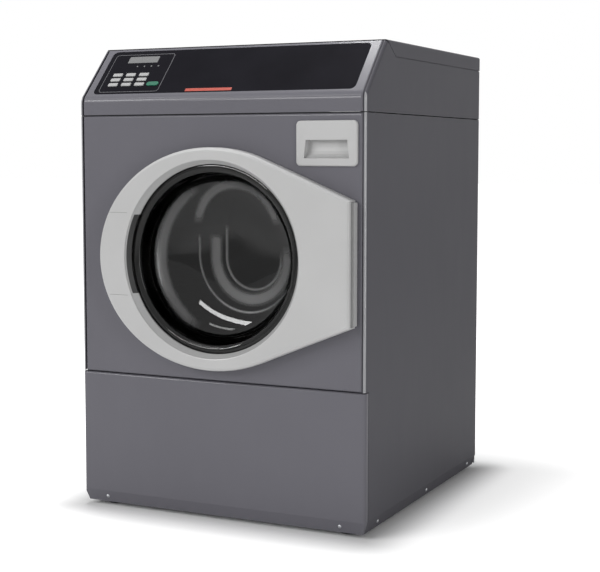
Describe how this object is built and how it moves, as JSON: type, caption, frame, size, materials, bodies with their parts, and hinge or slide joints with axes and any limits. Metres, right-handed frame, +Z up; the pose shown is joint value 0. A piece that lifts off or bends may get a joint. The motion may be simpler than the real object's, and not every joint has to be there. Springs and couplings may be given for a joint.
{
  "type": "commercial washing machine",
  "caption": "Front-loading commercial washing machine with a side-hung glass-bowl door, sloping control console, detergent drawer and a sprung tub with a belt-driven drum.",
  "frame": {"origin": "on the floor, under the middle of the machine's overall box", "axes": "+X to the right when facing the machine, +Y to the back, +Z up"},
  "size_m": [0.683, 0.772, 1.017],
  "materials": {
    "front_paint": "satin grey powder coat",
    "side_paint": "satin grey powder coat, seen darker",
    "galvanised": "dull galvanised sheet",
    "stainless": "brushed stainless",
    "tub_steel": "grey enamel",
    "iron": "rough cast, dark",
    "motor_paint": "dark enamel",
    "light_plastic": "fine-textured light grey moulding",
    "key_plastic": "light grey key caps",
    "start_plastic": "green key cap",
    "overlay_film": "dark film",
    "display": "clear window over a grey display",
    "circuit_board": "green board",
    "white_plastic": "plain white moulding",
    "dark_plastic": "black moulding",
    "rubber": "black rubber",
    "glass": "smoked clear bowl",
    "bearing_steel": "ground steel",
    "spring_steel": "oiled wire",
    "damper_paint": "dark enamel",
    "foot_rubber": "hard black rubber on a steel stud"
  },
  "bodies": {
    "cabinet": {"base_frame": "galvanised", "left_side_panel": "side_paint", "right_side_panel": "side_paint", "console_sides": "side_paint", "console_fascia": "front_paint", "top_panel": "front_paint", "rear_panel": "galvanised", "rear_service_cover": "galvanised", "front_panel": "front_paint", "lower_access_panel": "front_paint", "control_overlay": "overlay_film", "display_window": "display", "control_board": "circuit_board", "dispenser_housing": "white_plastic", "inlet_valves": "dark_plastic", "fill_hose": "rubber", "drain_pump": "dark_plastic", "drain_outlet": "dark_plastic", "power_inlet": "dark_plastic", "door_lock": "dark_plastic", "hinge_bracket": "galvanised", "damper_tubes": "damper_paint", "panel_screws": "galvanised"},
    "door": {"door_shell": "light_plastic", "door_inner_ring": "light_plastic", "door_glass": "glass", "hinge_arm": "galvanised", "door_strike": "galvanised"},
    "dispenser": {"dispenser_drawer": "light_plastic", "dispenser_front": "light_plastic"},
    "key_1_body": {"key_1": "key_plastic"},
    "key_2_body": {"key_2": "key_plastic"},
    "key_3_body": {"key_3": "key_plastic"},
    "key_4_body": {"key_4": "key_plastic"},
    "key_5_body": {"key_5": "key_plastic"},
    "key_6_body": {"key_6": "key_plastic"},
    "key_7_body": {"key_7": "key_plastic"},
    "key_8_body": {"key_8": "key_plastic"},
    "key_9_body": {"key_9": "key_plastic"},
    "start_key_body": {"start_key": "start_plastic"},
    "tub": {"tub_front": "tub_steel", "tub_rear": "tub_steel", "counterweights": "iron", "drum_bearings": "bearing_steel", "motor": "motor_paint", "damper_rods": "bearing_steel", "door_gasket": "rubber", "suspension_springs": "spring_steel", "drive_belt": "rubber", "sump_hose": "rubber", "dispenser_hose": "rubber"},
    "drum_set": {"drum": "stainless", "drum_lifters": "stainless", "drum_spider": "iron", "drum_pulley": "iron"},
    "motor_rotor": {"motor_pulley": "galvanised"},
    "front_left_foot_body": {"front_left_foot": "foot_rubber"},
    "front_right_foot_body": {"front_right_foot": "foot_rubber"},
    "rear_left_foot_body": {"rear_left_foot": "foot_rubber"},
    "rear_right_foot_body": {"rear_right_foot": "foot_rubber"}
  },
  "joints": [
    {"name": "door_hinge", "type": "hinge", "parent": "cabinet", "child": "door", "pos_m": [-0.263, -0.373, 0.5635], "axis": [0, 0, -1], "range_deg": [0, 120]},
    {"name": "dispenser_slide", "type": "slide", "parent": "cabinet", "child": "dispenser", "axis": [0, -1, 0], "range_m": [0, 0.15]},
    {"name": "key_1_press", "type": "slide", "parent": "cabinet", "child": "key_1_body", "axis": [0, 0.7291, -0.6844], "range_m": [0, 0.001], "stiffness_N_per_m": 400, "springref_m": -0.001},
    {"name": "key_2_press", "type": "slide", "parent": "cabinet", "child": "key_2_body", "axis": [0, 0.7291, -0.6844], "range_m": [0, 0.001], "stiffness_N_per_m": 400, "springref_m": -0.001},
    {"name": "key_3_press", "type": "slide", "parent": "cabinet", "child": "key_3_body", "axis": [0, 0.7291, -0.6844], "range_m": [0, 0.001], "stiffness_N_per_m": 400, "springref_m": -0.001},
    {"name": "key_4_press", "type": "slide", "parent": "cabinet", "child": "key_4_body", "axis": [0, 0.7291, -0.6844], "range_m": [0, 0.001], "stiffness_N_per_m": 400, "springref_m": -0.001},
    {"name": "key_5_press", "type": "slide", "parent": "cabinet", "child": "key_5_body", "axis": [0, 0.7291, -0.6844], "range_m": [0, 0.001], "stiffness_N_per_m": 400, "springref_m": -0.001},
    {"name": "key_6_press", "type": "slide", "parent": "cabinet", "child": "key_6_body", "axis": [0, 0.7291, -0.6844], "range_m": [0, 0.001], "stiffness_N_per_m": 400, "springref_m": -0.001},
    {"name": "key_7_press", "type": "slide", "parent": "cabinet", "child": "key_7_body", "axis": [0, 0.7291, -0.6844], "range_m": [0, 0.001], "stiffness_N_per_m": 400, "springref_m": -0.001},
    {"name": "key_8_press", "type": "slide", "parent": "cabinet", "child": "key_8_body", "axis": [0, 0.7291, -0.6844], "range_m": [0, 0.001], "stiffness_N_per_m": 400, "springref_m": -0.001},
    {"name": "key_9_press", "type": "slide", "parent": "cabinet", "child": "key_9_body", "axis": [0, 0.7291, -0.6844], "range_m": [0, 0.001], "stiffness_N_per_m": 400, "springref_m": -0.001},
    {"name": "start_key_press", "type": "slide", "parent": "cabinet", "child": "start_key_body", "axis": [0, 0.7291, -0.6844], "range_m": [0, 0.001], "stiffness_N_per_m": 400, "springref_m": -0.001},
    {"name": "tub_bounce", "type": "slide", "parent": "cabinet", "child": "tub", "axis": [0, 0, 1], "range_m": [-0.008, 0.008], "stiffness_N_per_m": 40000, "springref_m": 0.02453, "deforming": ["suspension_springs", "door_gasket", "sump_hose", "dispenser_hose"]},
    {"name": "drum_spin", "type": "hinge", "parent": "tub", "child": "drum_set", "pos_m": [0, 0, 0.5635], "axis": [0, 1, 0], "continuous": true},
    {"name": "motor_spin", "type": "hinge", "parent": "tub", "child": "motor_rotor", "pos_m": [0.09, 0, 0.16], "axis": [0, 1, 0], "continuous": true},
    {"name": "front_left_foot_screw", "type": "slide", "parent": "cabinet", "child": "front_left_foot_body", "axis": [0, 0, -1], "range_m": [0, 0.02]},
    {"name": "front_right_foot_screw", "type": "slide", "parent": "cabinet", "child": "front_right_foot_body", "axis": [0, 0, -1], "range_m": [0, 0.02]},
    {"name": "rear_left_foot_screw", "type": "slide", "parent": "cabinet", "child": "rear_left_foot_body", "axis": [0, 0, -1], "range_m": [0, 0.02]},
    {"name": "rear_right_foot_screw", "type": "slide", "parent": "cabinet", "child": "rear_right_foot_body", "axis": [0, 0, -1], "range_m": [0, 0.02]}
  ],
  "couplings": [
    {"joint": "motor_spin", "follows": "drum_spin", "ratio": 5}
  ]
}
